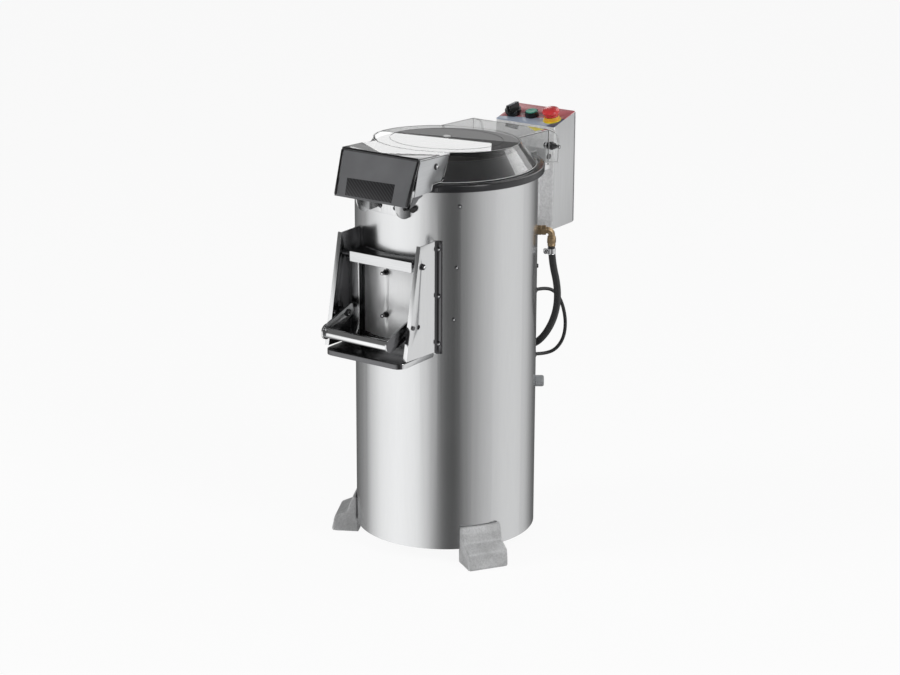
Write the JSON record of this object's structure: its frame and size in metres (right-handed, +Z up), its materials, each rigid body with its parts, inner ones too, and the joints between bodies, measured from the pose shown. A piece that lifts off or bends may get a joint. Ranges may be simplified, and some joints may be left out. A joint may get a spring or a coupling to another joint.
{
  "type": "electric potato peeler",
  "caption": "Floor-standing potato peeler: steel drum on cast feet, hinged clear lid with visor, front discharge door with latch handle, rear control box, water hose and drive.",
  "frame": {"origin": "on the drum's vertical axis at floor level, centre of the circle of the feet's bolt holes", "axes": "+Z up along the drum, -Y towards the discharge door, +X to the right seen from the front"},
  "size_m": [0.4567, 0.6958, 0.8807],
  "materials": {
    "stainless": "brushed",
    "steel": "polished",
    "dark_steel": "black oxide",
    "cast_aluminium": "rough cast",
    "brass": "satin",
    "black_plastic": "gloss",
    "grey_plastic": "matt",
    "clear_plastic": "clear",
    "green_plastic": "gloss",
    "red_plastic": "gloss",
    "printed_film": "satin film",
    "black_rubber": "matt",
    "abrasive": "gritty"
  },
  "bodies": {
    "root": {"drum_shell": "stainless", "top_ring": "black_plastic", "splash_collar": "black_plastic", "abrasive_liner": "abrasive", "chamber_floor": "stainless", "bearing_housing": "cast_aluminium", "shaft_bearings": "steel", "shaft_seal": "black_rubber", "drive_belt": "black_rubber", "motor_mount": "stainless", "motor_housing": "cast_aluminium", "foot_front_right": "cast_aluminium", "foot_rear": "cast_aluminium", "foot_front_left": "cast_aluminium", "foot_screws": "steel", "side_plate_right": "stainless", "side_plate_left": "stainless", "frame_strips": "stainless", "outlet_tray": "stainless", "drum_screws": "dark_steel", "pivot_bolts": "steel", "hinge_bracket": "stainless", "hinge_pins": "dark_steel", "latch_bracket": "stainless", "lid_buffer": "black_rubber", "control_box": "stainless", "console_panel": "printed_film", "box_rear_cover": "stainless", "box_bracket": "stainless", "contactor": "grey_plastic", "control_bezels": "black_plastic", "contact_blocks": "grey_plastic", "inlet_elbow": "brass", "inlet_nuts": "brass", "spray_nozzle": "brass", "water_hose": "black_rubber", "hose_clamp": "steel", "water_valve": "brass", "motor_cable": "black_rubber", "cable_glands": "black_plastic", "vent_stub": "grey_plastic", "drain_outlet": "grey_plastic"},
    "lid": {"lid_shell": "clear_plastic", "visor": "grey_plastic", "visor_cheeks": "stainless", "lid_screws": "dark_steel"},
    "door": {"door_panel": "stainless", "door_header": "stainless", "door_liner": "black_rubber", "door_studs": "steel"},
    "handle": {"handle_arms": "stainless", "handle_tube": "stainless"},
    "spinner": {"abrasive_plate": "abrasive", "drive_shaft": "steel", "drive_pulley": "cast_aluminium"},
    "rotor": {"motor_rotor": "steel", "motor_pulley": "cast_aluminium"},
    "selector": {"selector_knob": "black_plastic"},
    "start": {"start_button": "green_plastic"},
    "stop": {"estop_head": "red_plastic"}
  },
  "joints": [
    {"name": "lid_hinge", "type": "hinge", "parent": "root", "child": "lid", "pos_m": [0, 0.25, 0.813], "axis": [-1, 0, 0], "range_deg": [0, 88]},
    {"name": "door_hinge", "type": "hinge", "parent": "root", "child": "door", "pos_m": [-0.0095, -0.2135, 0.651], "axis": [-1, 0, 0], "range_deg": [0, 28]},
    {"name": "handle_pivot", "type": "hinge", "parent": "root", "child": "handle", "pos_m": [-0.0095, -0.2253, 0.528], "axis": [-1, 0, 0], "range_deg": [0, 80]},
    {"name": "plate_spin", "type": "hinge", "parent": "root", "child": "spinner", "pos_m": [0, 0, 0.446], "axis": [0, 0, 1], "continuous": true},
    {"name": "motor_spin", "type": "hinge", "parent": "root", "child": "rotor", "pos_m": [0, 0.12, 0.312], "axis": [0, 0, 1], "continuous": true},
    {"name": "selector_turn", "type": "hinge", "parent": "root", "child": "selector", "pos_m": [-0.0485, 0.32612, 0.84834], "axis": [0, -0.2368, 0.9715], "range_deg": [0, 60]},
    {"name": "start_press", "type": "slide", "parent": "root", "child": "start", "axis": [0, 0.2368, -0.9715], "range_m": [0, 0.003], "stiffness_N_per_m": 600, "springref_m": -0.002},
    {"name": "stop_press", "type": "slide", "parent": "root", "child": "stop", "axis": [0, 0.2368, -0.9715], "range_m": [0, 0.004], "stiffness_N_per_m": 800, "springref_m": -0.002}
  ],
  "couplings": [
    {"joint": "motor_spin", "follows": "plate_spin", "ratio": 3.2}
  ]
}
